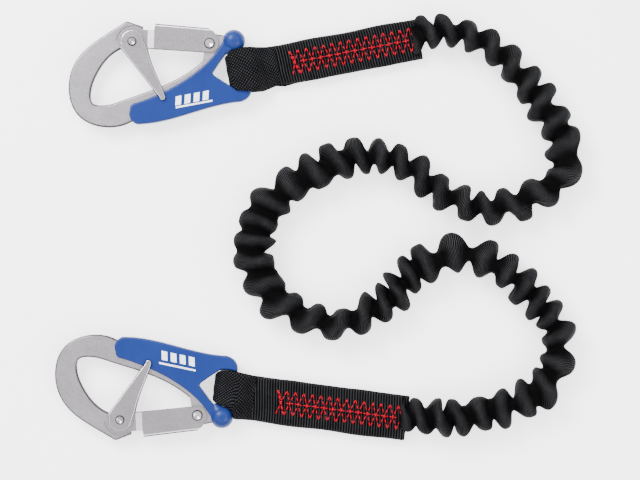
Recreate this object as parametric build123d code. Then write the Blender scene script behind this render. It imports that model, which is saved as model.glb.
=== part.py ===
from build123d import *
import math
import os

# Elastic safety lanyard. Two flat steel double-action hooks lie at the ends of a gathered webbing tube
# with a rubber core. Each hook hangs on a loop of flat webbing that is sewn to the tube's flattened end.
# Millimetres, everything lying on a floor at z = 0, seen from above along -Z.

# ---- driving dimensions -------------------------------------------------------------------------
PLATE_HALF = 2.0            # half the thickness of the hook's steel plate
COVER_HALF = 3.6            # half the thickness of the plastic grip cover
KNOB_R = 6.8                # round knob at the rear of the cover
GATE_OUT = 3.65             # outside of the gate's cheeks, from the hook's middle plane
GATE_IN = 2.55              # inside of the gate's channel
EAR_IN = 2.25               # inside of the gate's ears, beside the hook's nose
NECK_OUT = 3.0              # pressed-in neck between the ears and the channel
LEVER_IN = 3.95             # inside of the lever's cheeks
LEVER_OUT = 5.1             # outside of the lever's cheeks
EAR_R = 8.0
NOSE_R = 2.6                # rounding of the nose's peak
RIM_R = 1.1                 # rounding of the hook's long rims
PIN_R = 2.0                 # lever pin, at the origin of the hook's own plane
BUSH_R = 3.0
GATE_PIVOT = (46.2, 0.0)    # gate rivet
GATE_RIVET_R = 2.5
FIT = 0.05                  # radial running clearance of the two rivets
GAP = 0.3                   # clearance between parts that move past each other
SPRING_PIN = (16.0, 2.5)
SPRING_PIN_R = 1.2
WIRE_R = 0.4                # spring wire

BAR_MIDDLE = (62.4, -15.4)  # middle of the rear bar that the webbing goes round
BAR_HALF = 2.8              # half the bar's width in the plate's plane
STRAP_TURN = 10.6           # the webbing leaves the hook this many degrees off the hook's long axis
WEBBING = 2.2               # thickness of the flat webbing
STRAP_WIDTH = 26.0
FOLD_WIDTH = 14.4           # the webbing is bunched where it goes round the bar
LOOP_IN_R = 3.6             # inside of the loop round the bar
STRAP_LENGTH = 112.0        # from the bar to the end of the sewn part
SEAM_START = 25.0           # the flattened tube end begins here, measured from the bar
SEWN_END = 2.6              # thickness of the flattened tube end

STITCH_START = 33.0         # first stitch row, measured from the bar
STITCH_PITCH = 5.2
STITCH_ROWS = 15
STITCH_HEIGHT = 15.0
THREAD = 0.7

SLEEVE_R = 11.0             # gathered webbing tube, over its ruffles
SLEEVE_IN_R = 5.5
CORE_R = 5.0

HOOK_Z = KNOB_R             # the hook's middle plane, with the knob on the floor

# Each end: where the lever pin lies, how the hook's long axis is turned, whether the hook lies on its
# other face, how far the strap sits off the bar's middle, its sewn width, and how far the elastic tube
# leaves the strap off the strap's centreline.
ENDS = {
    "a": {"pin": (-65.1, 113.0), "turn": -1.2, "flipped": False, "shift": 0.0, "sewn": 24.6, "exit": 3.5},
    "b": {"pin": (-72.3, -113.0), "turn": 3.2, "flipped": True, "shift": 4.4, "sewn": 27.2, "exit": -3.0},
}

# Points of the elastic tube's route between its first and last straight runs, end a to end b.
ROUTE_MIDDLE = [
    (158, 105), (180, 80), (194, 57), (196, 30), (172, 18), (145, 12), (121, 22), (98, 41), (72, 46),
    (44, 35), (18, 20), (6, -6), (13, -34), (36, -52), (62, -57), (83, -39), (101, -20), (128, -12),
    (155, -21), (177, -39), (192, -60), (188, -87), (167, -104),
]
FIRST_RUN = 24.0            # straight run of the tube out of strap a
LAST_RUN = 26.0             # and into strap b


# ---- placing ------------------------------------------------------------------------------------
def hook_place(end):
    """The hook's own plane, laid down at one end of the lanyard."""
    x, y = end["pin"]
    over = 180 if end["flipped"] else 0
    return Pos(x, y, HOOK_Z) * Rot(0, 0, end["turn"]) * Rot(over, 0, 0)


def strap_place(end):
    """A strap's own frame: origin under the bar's middle on the floor, x along the strap."""
    side = -1 if end["flipped"] else 1
    turn = math.radians(end["turn"])
    u, v = BAR_MIDDLE[0], side * BAR_MIDDLE[1]
    x = end["pin"][0] + u * math.cos(turn) - v * math.sin(turn)
    y = end["pin"][1] + u * math.sin(turn) + v * math.cos(turn)
    return Pos(x, y, 0) * Rot(0, 0, end["turn"] + side * STRAP_TURN)


def strap_point(end, along, across):
    """A point of the floor, given along and across a strap; across counts towards the hook's gate."""
    side = -1 if end["flipped"] else 1
    return (strap_place(end) * Pos(along, side * (across + end["shift"]), 0)).position


def route():
    """The elastic tube's route: out of one sewn strap, along the floor and into the other."""
    a, b = ENDS["a"], ENDS["b"]
    first = [strap_point(a, STRAP_LENGTH + run, a["exit"]) for run in (0, FIRST_RUN)]
    last = [strap_point(b, STRAP_LENGTH + run, b["exit"]) for run in (LAST_RUN, 0)]
    flat = [(p.X, p.Y) for p in first] + ROUTE_MIDDLE + [(p.X, p.Y) for p in last]
    return [Vector(x, y, SLEEVE_R) for x, y in flat]


# ---- small helpers ------------------------------------------------------------------------------
def slab(face, low, high):
    """A flat face raised into a slab from low to high."""
    return Pos(0, 0, low) * extrude(face, high - low)


def both_sides(face, low, high):
    """The same slab on both sides of the hook's middle plane."""
    return slab(face, low, high) + slab(face, -high, -low)


def disc(centre, radius):
    return Pos(*centre) * Circle(radius)


def loop_face(*lines):
    """A face from lines that follow each other round its outline."""
    return make_face([edge for line in lines for edge in line.edges()])


def rounded(solid, edges, radius):
    """Round the edges; a solid whose edges can't be rounded stays sharp, and says so."""
    try:
        return fillet(edges, radius)
    except Exception:
        print("  rounding by", radius, "failed, left sharp")
        return solid


def rims(solid, half):
    """The edges that lie in the two flat faces at +half and -half."""
    return [e for e in solid.edges() if all(abs(abs(v.Z) - half) < 1e-4 for v in e.vertices())
            and abs(abs(e.center().Z) - half) < 1e-4]


def wire_leg(start, stop, radius):
    """A straight piece of round wire with rounded ends."""
    path = Line(start, stop)
    rod = sweep(Plane(origin=path @ 0, z_dir=path % 0) * Circle(radius), path)
    return rod + Pos(*start) * Sphere(radius) + Pos(*stop) * Sphere(radius)


# ---- hook plate ---------------------------------------------------------------------------------
def bar_point(along, out):
    """A point of the rear bar: along it from its middle towards the shank, and out towards the strap."""
    turn = math.radians(STRAP_TURN)
    u = BAR_MIDDLE[0] + along * math.sin(turn) + out * math.cos(turn)
    v = BAR_MIDDLE[1] - along * math.cos(turn) + out * math.sin(turn)
    return (u, v)


def plate_face():
    """Outline of the hook: nose with its notch, bow, shank, rear bar and the gate's pivot eye."""
    notch = BUSH_R + GAP
    nose_right = notch + 2.7
    nose_low = -1.5
    eye_r = 6.2
    px, py = GATE_PIVOT
    peak = (-3.9, 12.6)
    tail = bar_point(13, BAR_HALF)
    knob_end = bar_point(-17, BAR_HALF)
    outline = [
        Polyline((notch, 0), (notch, nose_low), (nose_right, nose_low), (nose_right, 9.4), peak),
        Spline(peak, (-19.6, 2.0), (-33.2, -11.0), (-37.9, -28.0), (-31.5, -45.0), (-15.6, -51.4),
               (0.0, -47.9)),
        Polyline((0.0, -47.9), (6.0, -46.6), (64.0, -32.4), tail, knob_end, (58.8, 4.4), (52.0, 5.6),
                 (px + 0.7, py + 6.16)),
        ThreePointArc((px + 0.7, py + 6.16), (px - eye_r, py), (px - 3.3, py - 5.25)),
        Line((px - 3.3, py - 5.25), (42.2, -10.4)),
        Spline((42.2, -10.4), (29.0, -20.3), (12.4, -28.3), (-4.3, -34.6), (-18.0, -38.3),
               (-23.3, -37.0), (-24.5, -32.0), (-21.6, -20.9), (-13.4, -8.8), (-7.2, -4.4)),
        Polyline((-7.2, -4.4), (-notch, -2.2), (-notch, 0)),
        ThreePointArc((-notch, 0), (0, notch), (notch, 0)),
    ]
    return loop_face(*outline)


def webbing_slot():
    """The slot between the shank and the rear bar."""
    corners = [bar_point(-11, -BAR_HALF), (52.6, -8.4), (46.9, -17.6), (48.4, -20.3), (56.4, -25.4),
               bar_point(11, -BAR_HALF)]
    slot = make_face(Polyline(*corners, close=True))
    return fillet(slot.vertices(), 0.9)


def nose_grooves():
    """A shallow ring groove round the gate's ear, milled into both faces of the nose."""
    inner, outer, depth = EAR_R + 0.5, EAR_R + 1.9, 0.7
    corner = make_face(Polyline((0, 0), (-16, 1), (-16, 16), (6.4, 16), (6.4, 4), close=True))
    ring = (Circle(outer) - Circle(inner)) & corner
    return both_sides(ring, PLATE_HALF - depth, PLATE_HALF)


def hook_plate():
    spring_notch = disc((GATE_PIVOT[0] - 5.9, 1.0), 0.75)
    blank = plate_face()
    peak = blank.vertices().sort_by(Axis.Y)[-1]
    face = fillet(peak, NOSE_R) - webbing_slot()
    plate = slab(face, -PLATE_HALF, PLATE_HALF)
    long_rims = [edge for edge in rims(plate, PLATE_HALF) if edge.length > 8]
    plate = rounded(plate, long_rims, RIM_R)
    holes = disc(GATE_PIVOT, GATE_RIVET_R + FIT) + spring_notch
    return plate - slab(holes, -PLATE_HALF, PLATE_HALF) - nose_grooves()


# ---- grip cover ---------------------------------------------------------------------------------
def cover_face():
    """Outline of the moulded cover: left end, inner edge, root of the knob, V-shaped slot, outer edge."""
    outline = [
        Spline((1.4, -36.8), (12.5, -32.5), (33.2, -21.0), (46.0, -10.0), (52.5, -1.4), (54.8, 3.0)),
        Polyline((54.8, 3.0), (60.0, 3.0), (57.4, -4.0), (54.0, -8.6)),
        Polyline((54.0, -8.6), (48.3, -17.4), (49.4, -19.1), (56.9, -23.7), (61.5, -26.3)),
        Spline((61.5, -26.3), (66.5, -25.8), (71.6, -24.6)),
        Spline((71.6, -24.6), (71.3, -29.6), (65.6, -34.4)),
        Spline((65.6, -34.4), (38.0, -41.2), (11.2, -48.5), (3.6, -49.2)),
        ThreePointArc((3.6, -49.2), (-0.5, -45.6), (-0.6, -40.6)),
        ThreePointArc((-0.6, -40.6), (-0.2, -38.2), (1.4, -36.8)),
    ]
    return loop_face(*outline)


def grip_cover(plate):
    knob_centre = (60.6, 2.1)
    neck_centre = (58.0, -2.9)
    arm_direction = 62
    neck = Rot(0, 0, arm_direction) * Rot(0, 90, 0) * Cone(2.6, 5.9, 7)
    shell = slab(cover_face(), -COVER_HALF, COVER_HALF)
    shell = rounded(shell, rims(shell, COVER_HALF), 1.3)
    shell = shell + Pos(*neck_centre) * neck + Pos(*knob_centre) * Sphere(KNOB_R)
    return shell - plate


# ---- gate ---------------------------------------------------------------------------------------
def ear_face():
    """The round ear at the gate's front, with its slanted rear edge."""
    return Circle(EAR_R) + make_face(Polyline((0, 0), (4.2, 6.7), (9.0, -1.6), (7.2, -3.5), close=True))


def channel_face():
    """Side view of the gate's channel, with its stepped front and rounded rear."""
    rear_r = 5.4
    x, y = GATE_PIVOT
    return loop_face(
        Polyline((x + 1.6, -5.15), (13.0, -3.6), (13.0, 7.3), (13.6, 11.3), (x - 1.1, 9.2)),
        ThreePointArc((x - 1.1, 9.2), (x + 4.2, y + 4.6), (x + rear_r, y)),
        ThreePointArc((x + rear_r, y), (x + 4.2, y - 3.4), (x + 1.6, -5.15)),
    )


def neck():
    """The pressed-in neck between the ears and the channel; its faces slant out to the channel's."""
    front, step, rear = 4.0, 9.2, 13.0
    half = make_face(Polyline((front, 0), (front, NECK_OUT), (step, NECK_OUT), (rear, GATE_OUT), (rear, 0),
                              close=True))
    section = half + mirror(half, Plane.XZ)
    blank = extrude(Plane.XZ * section, 7.3, both=True)
    return blank & slab(make_face(Polyline((front, -3.4), (front, 7.3), (rear, 7.3), (rear, -3.6),
                                           close=True)), -GATE_OUT, GATE_OUT)


def gate_hollow():
    """Everything inside the gate: the nose's room at the front, and the channel up to its spine."""
    wall = 1.1
    front = make_face(Polyline((-12, -12), (-12, 14), (7.4, 14), (7.4, 7.3 - wall), (13.4, 7.3 - wall),
                               (13.4, -12), close=True))
    middle = make_face(Polyline((12.9, -12), (12.9, 7.3 - wall), (14.0, 11.2 - wall), (45.3, 9.1 - wall),
                                (45.3, 14), (56, 14), (56, -12), close=True))
    return slab(front, -EAR_IN, EAR_IN) + slab(middle, -GATE_IN, GATE_IN)


def gate():
    """A pressed channel: a spine on the outside, and two cheeks that straddle the hook's plate."""
    channel = slab(channel_face(), -GATE_OUT, GATE_OUT)
    spine = [e for e in rims(channel, GATE_OUT) if e.center().Y > 9.5 and e.length > 20]
    channel = rounded(channel, spine, 1.6)
    body = channel + neck()
    body = body + slab(ear_face(), -GATE_OUT, GATE_OUT)
    body = body - gate_hollow()
    holes = disc((0, 0), PIN_R + FIT) + disc(GATE_PIVOT, GATE_RIVET_R)
    return body - slab(holes, -GATE_OUT, GATE_OUT)


# ---- lever --------------------------------------------------------------------------------------
LEVER_EDGE = 7.9            # distance of the lever's straight front edge from the pin
LEVER_LEAN = -50.7          # direction of that edge
WEB_FROM = 4.6              # the strip that joins the two cheeks, measured along that edge
WEB_TO = 8.4
WEB_THICKNESS = 1.0


def lever_point(along, out):
    """A point measured along the lever's straight front edge, and out from the pin towards it."""
    lean = math.radians(LEVER_LEAN)
    u = along * math.cos(lean) + out * math.sin(lean)
    v = along * math.sin(lean) - out * math.cos(lean)
    return (u, v)


def lever_face():
    """One cheek: a round head on the pin and a long tapering tail."""
    head_r = 6.8
    tail = loop_face(
        Polyline(lever_point(-2.2, LEVER_EDGE - 1.2), lever_point(-0.6, LEVER_EDGE),
                 lever_point(37.2, LEVER_EDGE)),
        ThreePointArc(lever_point(37.2, LEVER_EDGE), (19.7, -34.4), (20.4, -32.2)),
        Spline((20.4, -32.2), (15.6, -21.5), (11.9, -13.1), (8.7, -3.4)),
        Polyline((8.7, -3.4), (4.9, 4.7), (0, 0), lever_point(-2.2, LEVER_EDGE - 1.2)),
    )
    return tail + Circle(head_r)


def lever():
    cheeks = both_sides(lever_face(), LEVER_IN, LEVER_OUT)
    outer = rims(cheeks, LEVER_OUT)
    rolled = [edge for edge in outer if edge.length > 30 and edge.geom_type == GeomType.LINE]
    cheeks = rounded(cheeks, rolled, 1.0)
    cheeks = rounded(cheeks, [edge for edge in rims(cheeks, LEVER_OUT) if edge.length > 3], 0.4)
    strip = make_face(Polyline(lever_point(WEB_FROM, LEVER_EDGE), lever_point(WEB_TO, LEVER_EDGE),
                               lever_point(WEB_TO, LEVER_EDGE - WEB_THICKNESS),
                               lever_point(WEB_FROM, LEVER_EDGE - WEB_THICKNESS), close=True))
    body = cheeks + slab(strip, -LEVER_IN - 0.5, LEVER_IN + 0.5)
    return body - slab(Circle(PIN_R), -LEVER_OUT, LEVER_OUT)


# ---- rivets, bush, springs ----------------------------------------------------------------------
def rivet(centre, shank_r, head_r, face):
    """A rivet with a low dimpled head on each side; face is where each head bears."""
    head = 1.2
    dimple = 0.9
    half = make_face(Polyline((0, 0), (shank_r, 0), (shank_r, face), (head_r, face),
                              (head_r, face + head * 0.5), (head_r - 0.5, face + head),
                              (head_r * 0.72, face + head), (0, face + head - dimple), close=True))
    whole = half + mirror(half, Plane.XZ)
    body = revolve(Plane.XZ * whole, Axis.Z)
    return Pos(*centre) * body


def bush():
    """The sleeve on the lever pin: it holds the ears apart and seats in the nose's notch."""
    return slab(Circle(BUSH_R) - Circle(PIN_R + FIT), -EAR_IN + FIT, EAR_IN - FIT)


def spring_pin():
    return slab(disc(SPRING_PIN, SPRING_PIN_R), -GATE_IN, GATE_IN)


def coil(low, high):
    """The wound part of a torsion spring on the spring pin."""
    radius = SPRING_PIN_R + WIRE_R + 0.15
    turns = Helix(pitch=2 * WIRE_R + 0.1, height=high - low, radius=radius)
    section = Plane(origin=turns @ 0, z_dir=turns % 0) * Circle(WIRE_R)
    return Pos(*SPRING_PIN, low) * sweep(section, turns), radius


def gate_spring():
    """Torsion spring that closes the gate: its leg ends in a small notch of the pivot eye."""
    wound, radius = coil(0.5, 2.0)
    x, y = SPRING_PIN
    leg = wire_leg((x, y - radius, 0.6), (GATE_PIVOT[0] - 5.8, 1.0, 0.6), WIRE_R)
    return wound + leg


def lever_spring():
    """Torsion spring that pushes the lever away from the gate: its leg bears on the lever's strip."""
    wound, radius = coil(-2.0, -0.5)
    x, y = SPRING_PIN
    tip = lever_point((WEB_FROM + WEB_TO) / 2, LEVER_EDGE - WEB_THICKNESS - WIRE_R - FIT)
    leg = wire_leg((x, y - radius, -0.7), (*tip, -0.7), WIRE_R)
    return wound + leg


# ---- straps and stitching -----------------------------------------------------------------------
def loop_strap(end):
    """Flat webbing folded round the rear bar, its two legs sewn together behind it."""
    out_r = LOOP_IN_R + WEBBING
    stack = 2 * WEBBING
    join = (16.0, WEBBING + 0.4)
    low, high = (0, HOOK_Z - out_r), (0, HOOK_Z + out_r)
    outside = loop_face(
        ThreePointArc(low, (-out_r, HOOK_Z), high),
        Polyline(high, (5.0, HOOK_Z + out_r - 1.2), (19.0, stack), (STRAP_LENGTH, stack),
                 (STRAP_LENGTH, 0), (9.0, 0), low),
    )
    eye = Pos(0, HOOK_Z) * Circle(LOOP_IN_R)
    throat = make_face(Polyline((0, HOOK_Z - LOOP_IN_R), join, (4.0, HOOK_Z + LOOP_IN_R - 1.0),
                                (0, HOOK_Z + LOOP_IN_R), close=True))
    side_view = outside - eye - throat
    body = extrude(Plane.XZ * side_view, STRAP_WIDTH, both=True)
    fold, wide, shift = FOLD_WIDTH / 2, STRAP_WIDTH / 2, end["shift"]
    side = -1 if end["flipped"] else 1
    corners = [(-out_r - 1, fold), (1.5, fold), (8.3, fold + 2.4), (13, wide + shift),
               (STRAP_LENGTH, wide + shift), (STRAP_LENGTH, shift - wide), (13, shift - wide),
               (8.3, -fold - 2.4), (1.5, -fold), (-out_r - 1, -fold)]
    plan = make_face(Polyline(*[(x, side * y) for x, y in corners], close=True))
    return body & slab(plan, 0, 2 * HOOK_Z)


def sewn_end(end):
    """The flattened end of the elastic tube, laid on the strap and sewn down."""
    side = -1 if end["flipped"] else 1
    length = STRAP_LENGTH - SEAM_START
    flat = Pos(SEAM_START + length / 2, side * end["shift"]) * Rectangle(length, end["sewn"])
    body = slab(flat, 2 * WEBBING, 2 * WEBBING + SEWN_END)
    long_edges = body.edges().filter_by(Axis.X).group_by(Axis.Z)[-1]
    return rounded(body, long_edges, 0.9)


def zigzag(side):
    """One row of thread that crosses the strap's middle at every stitch."""
    half = STITCH_HEIGHT / 2
    corners = [(STITCH_START + k * STITCH_PITCH, side * half * (-1) ** k) for k in range(STITCH_ROWS + 1)]
    return trace(Polyline(*corners), THREAD)


def stitching(end):
    """Two crossing zigzags and a straight row between them, on top of the sewn end."""
    middle = Polyline((STITCH_START, 0), (STITCH_START + STITCH_ROWS * STITCH_PITCH, 0))
    rows = zigzag(1) + zigzag(-1) + trace(middle, THREAD)
    top = 2 * WEBBING + SEWN_END
    side = -1 if end["flipped"] else 1
    return Pos(0, side * end["shift"], 0) * slab(rows, top, top + THREAD / 2)


# ---- elastic tube -------------------------------------------------------------------------------
def bend_radii(points):
    """Each arc is as large as its two runs allow."""
    radii = []
    for before, here, after in zip(points, points[1:], points[2:]):
        run_in, run_out = here - before, after - here
        turn = math.radians(run_in.get_angle(run_out))
        radii.append(0.45 * min(run_in.length, run_out.length) / math.tan(turn / 2))
    return radii


def tube_path():
    points = route()
    radii = bend_radii(points)
    print("bend radii:", [round(r) for r in radii])
    return FilletPolyline(*points, radius=radii)


def tube(path, section):
    body = sweep(Plane(origin=path @ 0, z_dir=path % 0) * section, path)
    print("tube volume over section times length:", round(body.volume / (section.area * path.length), 4))
    return body


# ---- all the pieces -----------------------------------------------------------------------------
def hook_pieces():
    plate = hook_plate()
    return {
        "hook_body": plate,
        "grip_cover": grip_cover(plate),
        "gate": gate(),
        "gate_rivet": rivet(GATE_PIVOT, GATE_RIVET_R, 3.2, GATE_OUT),
        "gate_spring": gate_spring(),
        "spring_pin": spring_pin(),
        "lever": lever(),
        "lever_rivet": rivet((0, 0), PIN_R, 2.7, LEVER_OUT),
        "lever_bush": bush(),
        "lever_spring": lever_spring(),
    }


def strap_pieces(end):
    return {"loop_strap": loop_strap(end), "sewn_end": sewn_end(end), "stitching": stitching(end)}


def make_parts():
    """Every node's shape by name, each where it lies on the floor."""
    parts = {}
    hook = hook_pieces()
    for letter, end in ENDS.items():
        for name, shape in hook.items():
            parts[f"{name}_{letter}"] = hook_place(end) * shape
        for name, shape in strap_pieces(end).items():
            parts[f"{name}_{letter}"] = strap_place(end) * shape
    path = tube_path()
    print("elastic tube length:", round(path.length))
    parts["webbing_sleeve"] = tube(path, Circle(SLEEVE_R) - Circle(SLEEVE_IN_R))
    parts["elastic_core"] = tube(path, Circle(CORE_R))
    return parts


parts = make_parts()
os.makedirs("parts", exist_ok=True)
for node, shape in parts.items():
    export_step(shape, f"parts/{node}.step")
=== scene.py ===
import math

import bpy
import numpy as np
from mathutils import Matrix, Vector


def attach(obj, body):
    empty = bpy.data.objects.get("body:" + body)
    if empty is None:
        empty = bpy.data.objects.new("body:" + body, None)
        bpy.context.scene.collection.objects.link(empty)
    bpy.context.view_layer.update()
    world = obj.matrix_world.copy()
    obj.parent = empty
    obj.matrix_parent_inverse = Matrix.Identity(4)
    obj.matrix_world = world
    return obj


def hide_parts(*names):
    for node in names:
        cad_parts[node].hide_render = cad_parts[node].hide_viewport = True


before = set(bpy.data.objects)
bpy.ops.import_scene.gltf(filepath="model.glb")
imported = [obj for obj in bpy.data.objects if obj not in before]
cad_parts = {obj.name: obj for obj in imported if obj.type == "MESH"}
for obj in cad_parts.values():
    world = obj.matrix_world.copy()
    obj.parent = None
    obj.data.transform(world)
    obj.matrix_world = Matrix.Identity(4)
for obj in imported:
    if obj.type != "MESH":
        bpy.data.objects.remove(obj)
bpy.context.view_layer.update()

# The looks of an elastic safety lanyard that lies in an S between its two steel hooks. Metres and
# degrees. Most places are worked out in the hooks' own frames and the straps' own frames, which are set
# out here; the elastic tube follows the points listed below.

HOOK_Z = 0.0068                 # height of the hooks' middle plane
COVER_HALF = 0.0036             # half the blue cover's thickness
BAR_MIDDLE = (0.0624, -0.0154)  # the hook's rear bar, seen from its lever pin
STRAP_TURN = 10.6               # from the hook's own x to its strap
STRAP_LENGTH = 0.112
STRAP_WIDTH = 0.026
WEBBING = 0.0022                # one layer's thickness
SEWN_END = 0.0026               # thickness of the tube's flattened end
SLEEVE_R = 0.0103               # half the tube's declared width, and the height of its middle
LIFT = 0.0005                   # the straps' underside stands on its stitches
FIRST_RUN = 0.024               # the tube's first and last runs
LAST_RUN = 0.026
RIB = 0.0016                    # distance between the cross ribs of the flattened tube
FABRIC_PER_PLEAT = 0.024        # webbing taken up by one pleat

# Each end has its lever pin's place, the hook's turn and whether it lies face down. The strap sits at
# shift from the bar's middle, the tube leaves it at exit from its middle line, and the flattened tube
# on it begins at seam and is sewn wide. The strap's edges are (along, across) points from the fold to
# where it is sewn, left and right of its middle, which bends to one side as bend says. The mark has
# its line's start, its lean, and the side of the line that its bars are on.
ENDS = {
    "a": {
        "pin": (-0.0651, 0.1130), "turn": -1.2, "flipped": False, "shift": 0.0, "sewn": 0.0246,
        "exit": 0.0035, "seam": 0.025,
        "left": [(-0.0070, 0.0064), (-0.0045, 0.0105), (-0.0020, 0.0117), (0.007, 0.0128), (0.022, 0.0120),
                 (0.034, 0.0121)],
        "right": [(-0.0070, 0.0066), (-0.0050, 0.0095), (-0.0020, 0.0122), (0.006, 0.0139),
                  (0.014, 0.0142), (0.022, 0.0119), (0.027, 0.0130), (0.034, 0.0121)],
        "bend": [(0.0, 0.0), (0.020, -0.0010), (0.034, -0.0011), (0.112, 0.0009)],
        "mark": {"start": (0.0269, -0.0393), "lean": 11.9, "bars_side": 1},
    },
    "b": {
        "pin": (-0.0723, -0.1130), "turn": 3.2, "flipped": True, "shift": 0.0044, "sewn": 0.0272,
        "exit": -0.0030, "seam": 0.019,
        "left": [(-0.0066, 0.0090), (-0.0045, 0.0128), (-0.0020, 0.0148), (0.002, 0.0154), (0.008, 0.0144),
                 (0.017, 0.0136), (0.034, 0.0134)],
        "right": [(-0.0066, 0.0034), (-0.0032, 0.0048), (0.0, 0.0058), (0.004, 0.0066), (0.006, 0.0078),
                  (0.007, 0.0090), (0.0079, 0.0106), (0.0085, 0.0131), (0.034, 0.0134)],
        "bend": [(0.0, 0.0), (0.112, 0.0)],
        "mark": {"start": (0.0252, -0.0331), "lean": 15.1, "bars_side": -1},
    },
}

# The tube's middle between its first and last runs: the part's own route, with some points moved by up
# to 5 mm.
ROUTE_MIDDLE = [
    (0.158, 0.104), (0.178, 0.079), (0.192, 0.056), (0.196, 0.031), (0.172, 0.019), (0.145, 0.011),
    (0.121, 0.022), (0.098, 0.041), (0.072, 0.046), (0.044, 0.035), (0.018, 0.020), (0.006, -0.006),
    (0.013, -0.034), (0.035, -0.053), (0.062, -0.058), (0.086, -0.043), (0.104, -0.024),
    (0.129, -0.011), (0.156, -0.021), (0.176, -0.040), (0.191, -0.060), (0.188, -0.087),
    (0.167, -0.104),
]

VIEW_CENTRE = (0.0472, -0.0056)
VIEW_WIDTH = 0.384              # what the camera sees across at the hooks' middle plane
LENS = 100.0                    # millimetres, as Blender has them
SENSOR = 36.0


# ---- places -------------------------------------------------------------------------------------
def turned(degrees, axis):
    """A turn about the x, y or z axis."""
    return Matrix.Rotation(math.radians(degrees), 4, axis)


def side_of(end):
    """1, or -1 where the hook lies face down, so that its bar is on the other side."""
    return -1 if end["flipped"] else 1


def hook_matrix(end):
    """The hook's own plane, with its origin on the lever pin."""
    over = 180 if end["flipped"] else 0
    return Matrix.Translation((*end["pin"], HOOK_Z)) @ turned(end["turn"], "Z") @ turned(over, "X")


def strap_matrix(end):
    """The strap's own frame: origin on the floor under the bar, x along the strap, y to its left."""
    side = side_of(end)
    bar = Matrix.Translation((*end["pin"], 0)) @ turned(end["turn"], "Z") @ Vector(
        (BAR_MIDDLE[0], side * BAR_MIDDLE[1], 0))
    shift = Matrix.Translation((0, side * end["shift"], 0))
    return Matrix.Translation(bar) @ turned(end["turn"] + side * STRAP_TURN, "Z") @ shift


def exit_point(end, run):
    """A point of the elastic tube's straight run at this end, that far out of the strap."""
    return strap_matrix(end) @ Vector((STRAP_LENGTH + run, side_of(end) * end["exit"], SLEEVE_R))


def route_points():
    """The tube's route: straight out of strap a, through the points above, and into strap b."""
    a, b = ENDS["a"], ENDS["b"]
    middle = [Vector((x, y, SLEEVE_R)) for x, y in ROUTE_MIDDLE]
    return ([exit_point(a, 0), exit_point(a, FIRST_RUN)] + middle
            + [exit_point(b, LAST_RUN), exit_point(b, 0)])


# ---- camera -------------------------------------------------------------------------------------
def make_camera():
    """The camera looks straight down from the height that gives the view its width."""
    data = bpy.data.cameras.new("camera")
    data.lens = LENS
    data.sensor_width = SENSOR
    camera = bpy.data.objects.new("camera", data)
    height = VIEW_WIDTH / SENSOR * LENS + HOOK_Z
    camera.location = (*VIEW_CENTRE, height)
    bpy.context.scene.collection.objects.link(camera)
    bpy.context.scene.camera = camera


# ---- mesh helpers -------------------------------------------------------------------------------
def add_object(name, verts, faces, uvs=None):
    """A smooth mesh object; uvs is one (u, v) for each vertex."""
    mesh = bpy.data.meshes.new(name)
    mesh.from_pydata([tuple(v) for v in verts], [], faces)
    if uvs is not None:
        layer = mesh.uv_layers.new(name="weave")
        index = np.empty(len(mesh.loops), int)
        mesh.loops.foreach_get("vertex_index", index)
        layer.data.foreach_set("uv", np.asarray(uvs, np.float32)[index].ravel())
    mesh.validate()
    for polygon in mesh.polygons:
        polygon.use_smooth = True
    piece = bpy.data.objects.new(name, mesh)
    bpy.context.scene.collection.objects.link(piece)
    return piece


def grid_faces(rows, columns, closed, first=0):
    """Quads between rows of points; closed joins each row's last point to its first."""
    faces = []
    across = columns if closed else columns - 1
    for i in range(rows - 1):
        for j in range(across):
            k = (j + 1) % columns
            faces.append((first + i * columns + j, first + i * columns + k,
                          first + (i + 1) * columns + k, first + (i + 1) * columns + j))
    return faces


def add_to(verts, faces, more):
    """Adds the vertices and faces of one more closed piece to these."""
    more_verts, more_faces = more
    first = len(verts)
    verts.extend(more_verts)
    faces.extend([tuple(first + k for k in face) for face in more_faces])


def tube_mesh(rings):
    """Vertices and faces of a closed tube whose rings are given as an array (rings, around, 3)."""
    count, around, _ = rings.shape
    verts = rings.reshape(-1, 3)
    faces = grid_faces(count, around, True)
    faces.append(tuple(reversed(range(around))))
    faces.append(tuple(range((count - 1) * around, count * around)))
    return verts, faces


def smooth_line(points):
    """The points of the NURBS line that has these control points."""
    data = bpy.data.curves.new("line", "CURVE")
    data.dimensions = "3D"
    data.resolution_u = 40
    spline = data.splines.new("NURBS")
    spline.points.add(len(points) - 1)
    for target, point in zip(spline.points, points):
        target.co = (*point, 1.0)
    spline.order_u = 3
    spline.use_endpoint_u = True
    carrier = bpy.data.objects.new("line", data)
    bpy.context.scene.collection.objects.link(carrier)
    bpy.context.view_layer.update()
    mesh = bpy.data.meshes.new_from_object(carrier)
    line = np.array([v.co for v in mesh.vertices])
    bpy.data.objects.remove(carrier)
    bpy.data.meshes.remove(mesh)
    return line


def directions(points):
    """The line's direction at each of its points."""
    ahead = np.gradient(points, axis=0)
    return ahead / np.linalg.norm(ahead, axis=1)[:, None]


def walk(line, step):
    """The line's points at even steps: how far along each is, the point, and the direction."""
    lengths = np.linalg.norm(np.diff(line, axis=0), axis=1)
    run = np.concatenate([[0], np.cumsum(lengths)])
    count = int(run[-1] / step) + 1
    at = np.linspace(0, run[-1], count)
    points = np.stack([np.interp(at, run, line[:, k]) for k in range(3)], axis=1)
    return at, points, directions(points)


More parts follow.
